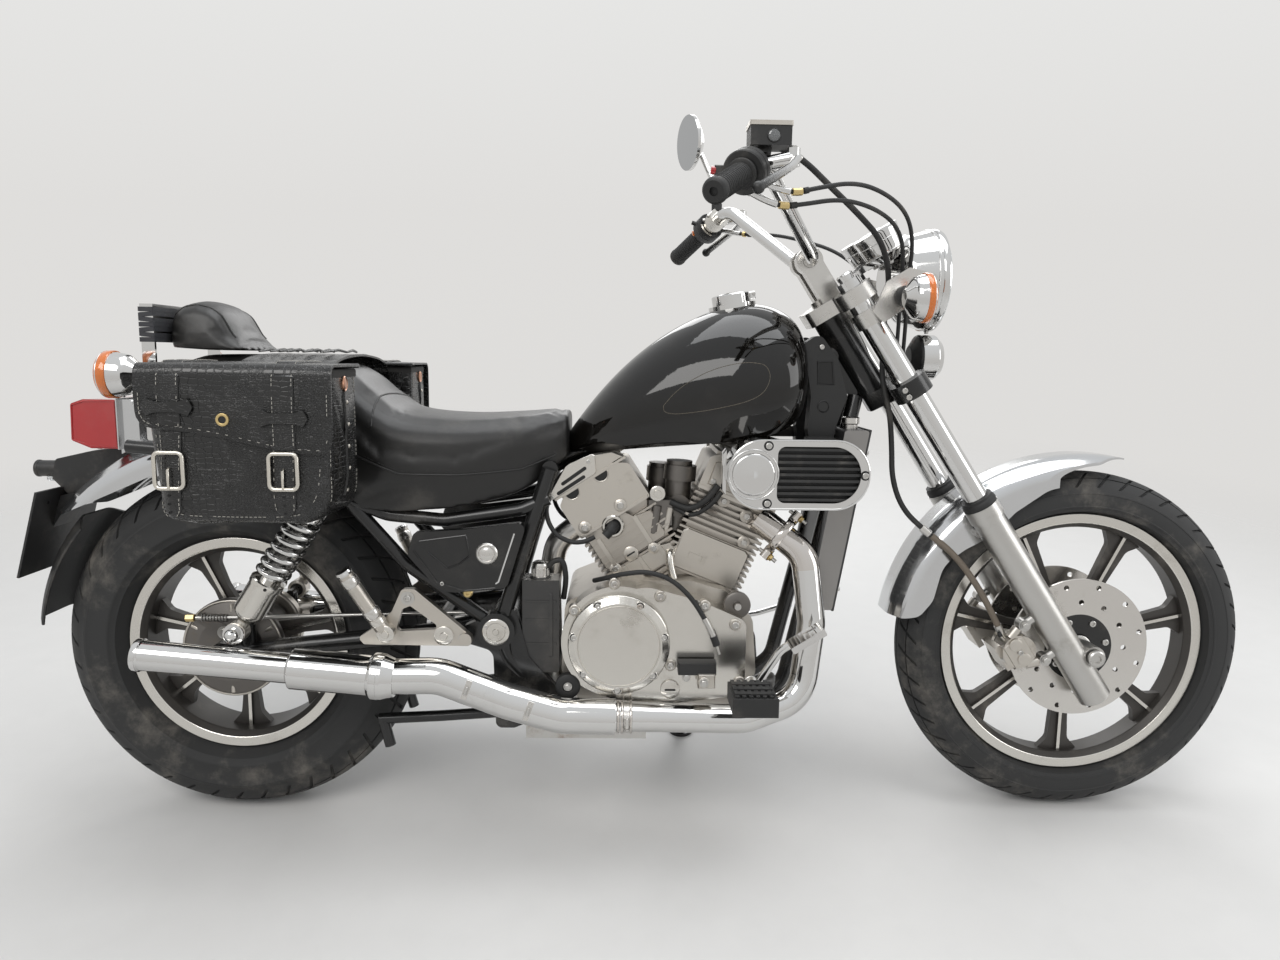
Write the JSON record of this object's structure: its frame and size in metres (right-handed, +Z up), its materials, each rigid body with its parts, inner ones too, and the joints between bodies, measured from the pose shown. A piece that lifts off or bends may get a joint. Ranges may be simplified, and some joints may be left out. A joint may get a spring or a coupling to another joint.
{
  "type": "cruiser motorcycle",
  "caption": "Cruiser motorcycle with a V-twin engine, stepped seat with backrest, hard-lidded saddlebags and a raked fork, parked leaning on its side stand.",
  "frame": {"origin": "middle of the parked machine's bounding box, on the floor", "axes": "+X forward along the wheelbase, +Y to the rider's left, +Z up; the machine leans 9 degrees to +Y on its side stand"},
  "size_m": [2.2808, 0.8565, 1.315],
  "materials": {
    "tyre": "matte",
    "wheel": "satin",
    "disc": "brushed",
    "chrome": "polished",
    "alloy": "satin",
    "steel": "brushed",
    "silver_paint": "gloss",
    "black_frame": "gloss",
    "black_rubber": "matte",
    "black_plastic": "satin",
    "bright_shell": "polished",
    "black_paint": "gloss",
    "vinyl": "satin",
    "bag_leather": "embossed",
    "red_lens": "gloss",
    "plate": "satin",
    "bright_pipe": "polished"
  },
  "bodies": {
    "chassis": {"frame_headstock": "black_frame", "left_frame_side": "black_frame", "right_frame_side": "black_frame", "rear_shocks": "bright_pipe", "swingarm": "alloy", "final_drive_and_brake_panel": "alloy", "rear_axle": "steel", "crankcase": "alloy", "engine_side_covers": "alloy", "rear_cylinder": "alloy", "front_cylinder": "alloy", "carburettors_and_air_cleaners": "bright_shell", "right_exhaust": "bright_pipe", "left_exhaust": "bright_pipe", "exhaust_collector": "bright_pipe", "fuel_tank": "black_paint", "fuel_cap": "bright_shell", "seat": "vinyl", "side_and_neck_covers": "black_plastic", "radiator_and_coolant_bottle": "black_plastic", "rear_fender": "silver_paint", "rear_mudflap": "black_rubber", "tail_lamp": "red_lens", "number_plate_and_bracket": "plate", "rear_signals": "bright_shell", "backrest_pad": "vinyl", "backrest_bracket": "chrome", "saddlebags": "bag_leather", "passenger_pegs": "alloy", "rider_pegs_and_levers": "alloy", "stand_mounts": "black_frame"},
    "steering": {"fork_stanchions": "chrome", "fork_sliders": "alloy", "front_axle": "steel", "lower_fork_clamp_and_stem": "black_frame", "top_fork_clamp": "alloy", "handlebar": "chrome", "grips": "black_rubber", "hand_controls": "black_plastic", "brake_reservoir": "black_plastic", "left_mirror": "bright_shell", "headlamp": "bright_shell", "lamp_brackets_and_horn": "alloy", "front_signals": "bright_shell", "instruments": "bright_shell", "front_fender": "silver_paint", "brake_calipers": "alloy", "throttle_cable_upper": "black_rubber", "throttle_cable_lower": "black_rubber", "clutch_cable": "black_rubber", "brake_hose": "black_rubber"},
    "front_wheel": {"front_tyre": "tyre", "front_rim": "wheel", "brake_discs": "disc"},
    "rear_wheel": {"rear_tyre": "tyre", "rear_rim": "wheel"},
    "side_stand": {"side_stand": "black_frame"},
    "centre_stand": {"centre_stand": "black_frame"},
    "left_bag_lid": {"left_bag_lid": "bag_leather"},
    "right_bag_lid": {"right_bag_lid": "bag_leather"}
  },
  "joints": [
    {"name": "steering_turn", "type": "hinge", "parent": "chassis", "child": "steering", "pos_m": [0.36503, -0.02413, 0.8648], "axis": [-0.5519, 0.1304, 0.8236], "range_deg": [-37, 37]},
    {"name": "front_wheel_spin", "type": "hinge", "parent": "steering", "child": "front_wheel", "pos_m": [0.80956, -0.10922, 0.32754], "axis": [0, 0.9877, -0.1564], "continuous": true},
    {"name": "rear_wheel_spin", "type": "hinge", "parent": "chassis", "child": "rear_wheel", "pos_m": [-0.77044, -0.11011, 0.32192], "axis": [0, 0.9877, -0.1564], "continuous": true},
    {"name": "side_stand_fold", "type": "hinge", "parent": "chassis", "child": "side_stand", "pos_m": [0.02956, -0.02232, 0.16026], "axis": [0, 0.9336, 0.3584], "range_deg": [0, 97]},
    {"name": "centre_stand_lower", "type": "hinge", "parent": "chassis", "child": "centre_stand", "pos_m": [-0.26544, -0.12794, 0.20939], "axis": [0, -0.9877, 0.1564], "range_deg": [0, 98], "stiffness_Nm_per_rad": 4, "springref_deg": -45.84},
    {"name": "left_bag_lid_open", "type": "hinge", "parent": "chassis", "child": "left_bag_lid", "pos_m": [-0.63644, 0.15481, 0.8056], "axis": [1, 0, 0], "range_deg": [0, 100]},
    {"name": "right_bag_lid_open", "type": "hinge", "parent": "chassis", "child": "right_bag_lid", "pos_m": [-0.63644, -0.21261, 0.86379], "axis": [-1, 0, 0], "range_deg": [0, 100]}
  ]
}
